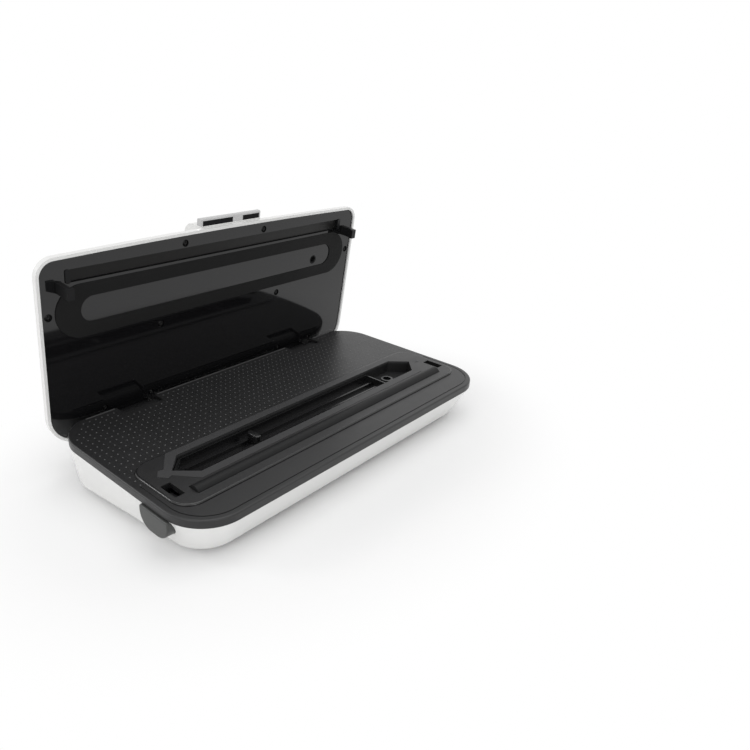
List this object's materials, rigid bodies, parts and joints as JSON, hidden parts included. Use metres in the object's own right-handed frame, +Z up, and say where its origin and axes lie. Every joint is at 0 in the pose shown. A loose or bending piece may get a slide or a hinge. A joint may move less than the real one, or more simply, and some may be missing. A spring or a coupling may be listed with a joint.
{
  "type": "vacuum sealer",
  "caption": "Countertop vacuum bag sealer with a hinged lid, sealing strip, vacuum trough with lift-out tray, side release buttons and an inner pump.",
  "frame": {"origin": "On the table under the middle of the whole machine with its lid open.", "axes": "+X runs along the machine to its right end, -Y is the front edge where the bag goes in, +Z is up."},
  "size_m": [0.364, 0.2175, 0.1999],
  "materials": {
    "white_shell": "smooth glossy white",
    "black_deck": "satin charcoal, fine grain",
    "satin_black": "satin black",
    "gloss_black": "polished black",
    "black_tray": "plain black",
    "ring_rubber": "matte black foam rubber",
    "grey_rubber": "dark grey silicone",
    "bright_steel": "bright steel",
    "strip_tape": "coated glass cloth",
    "grey_plastic": "moulded grey",
    "motor_can": "plated steel can",
    "silver_plastic": "satin silver grey",
    "key_plastic": "light grey keys",
    "lamp_lens": "tinted lens",
    "board": "green solder mask"
  },
  "bodies": {
    "base": {"air_tube": "grey_rubber", "base_screws": "bright_steel", "base_shell": "white_shell", "circuit_board": "board", "foot_back_left": "ring_rubber", "foot_back_right": "ring_rubber", "foot_front_left": "ring_rubber", "foot_front_right": "ring_rubber", "hinge_bracket_left": "grey_plastic", "hinge_bracket_right": "grey_plastic", "hinge_pin_left": "bright_steel", "hinge_pin_right": "bright_steel", "lid_switch_left": "grey_plastic", "lid_switch_right": "grey_plastic", "lower_gasket": "grey_rubber", "power_inlet": "grey_plastic", "press_bar": "grey_rubber", "pump_cradle": "grey_plastic", "pump_head": "grey_plastic", "pump_motor": "motor_can", "release_spring_left": "bright_steel", "release_spring_right": "bright_steel", "suction_port": "black_tray", "top_plate": "black_deck", "transformer": "motor_can"},
    "lid": {"lid_shell": "white_shell", "lid_panel": "gloss_black", "upper_gasket": "ring_rubber", "vent_cup": "ring_rubber", "seal_carrier": "grey_plastic", "heating_element": "bright_steel", "release_tape": "strip_tape", "strip_clip_left": "satin_black", "strip_clip_right": "satin_black", "latch_hook_left": "satin_black", "latch_hook_right": "satin_black", "hinge_arm_left": "satin_black", "hinge_arm_right": "satin_black", "control_housing": "silver_plastic", "control_board": "board", "control_window_left": "gloss_black", "control_window_right": "gloss_black", "control_lamps": "lamp_lens", "lid_screws": "bright_steel", "hinge_screws": "bright_steel"},
    "tray": {"drip_tray": "black_tray"},
    "pump_rotor": {"pump_shaft": "bright_steel", "pump_eccentric": "grey_plastic"},
    "release_left": {"release_button_left": "satin_black", "latch_catch_left": "grey_plastic"},
    "release_right": {"release_button_right": "satin_black", "latch_catch_right": "grey_plastic"},
    "key_vacuum_body": {"key_vacuum": "key_plastic"},
    "key_seal_body": {"key_seal": "key_plastic"},
    "key_pulse_body": {"key_pulse": "key_plastic"},
    "key_stop_body": {"key_stop": "key_plastic"}
  },
  "joints": [
    {"name": "lid_hinge", "type": "hinge", "parent": "base", "child": "lid", "pos_m": [0, 0.06772, 0.03508], "axis": [1, 0, 0], "range_deg": [0, 84.4]},
    {"name": "tray_lift", "type": "slide", "parent": "base", "child": "tray", "axis": [0, 0.0541, -0.9985], "range_m": [-0.025, 0]},
    {"name": "pump_spin", "type": "hinge", "parent": "base", "child": "pump_rotor", "pos_m": [0.058, 0.02256, 0.0245], "axis": [1, 0, 0], "continuous": true},
    {"name": "release_left_press", "type": "slide", "parent": "base", "child": "release_left", "axis": [1, 0, 0], "range_m": [0, 0.004], "stiffness_N_per_m": 300, "springref_m": -0.002, "deforming": ["release_spring_left"]},
    {"name": "release_right_press", "type": "slide", "parent": "base", "child": "release_right", "axis": [-1, 0, 0], "range_m": [0, 0.004], "stiffness_N_per_m": 300, "springref_m": -0.002, "deforming": ["release_spring_right"]},
    {"name": "key_vacuum_press", "type": "slide", "parent": "lid", "child": "key_vacuum_body", "axis": [0, -0.9885, -0.1513], "range_m": [0, 0.0008], "stiffness_N_per_m": 200, "springref_m": -0.0005},
    {"name": "key_seal_press", "type": "slide", "parent": "lid", "child": "key_seal_body", "axis": [0, -0.9885, -0.1513], "range_m": [0, 0.0008], "stiffness_N_per_m": 200, "springref_m": -0.0005},
    {"name": "key_pulse_press", "type": "slide", "parent": "lid", "child": "key_pulse_body", "axis": [0, -0.9885, -0.1513], "range_m": [0, 0.0008], "stiffness_N_per_m": 200, "springref_m": -0.0005},
    {"name": "key_stop_press", "type": "slide", "parent": "lid", "child": "key_stop_body", "axis": [0, -0.9885, -0.1513], "range_m": [0, 0.0008], "stiffness_N_per_m": 200, "springref_m": -0.0005}
  ]
}
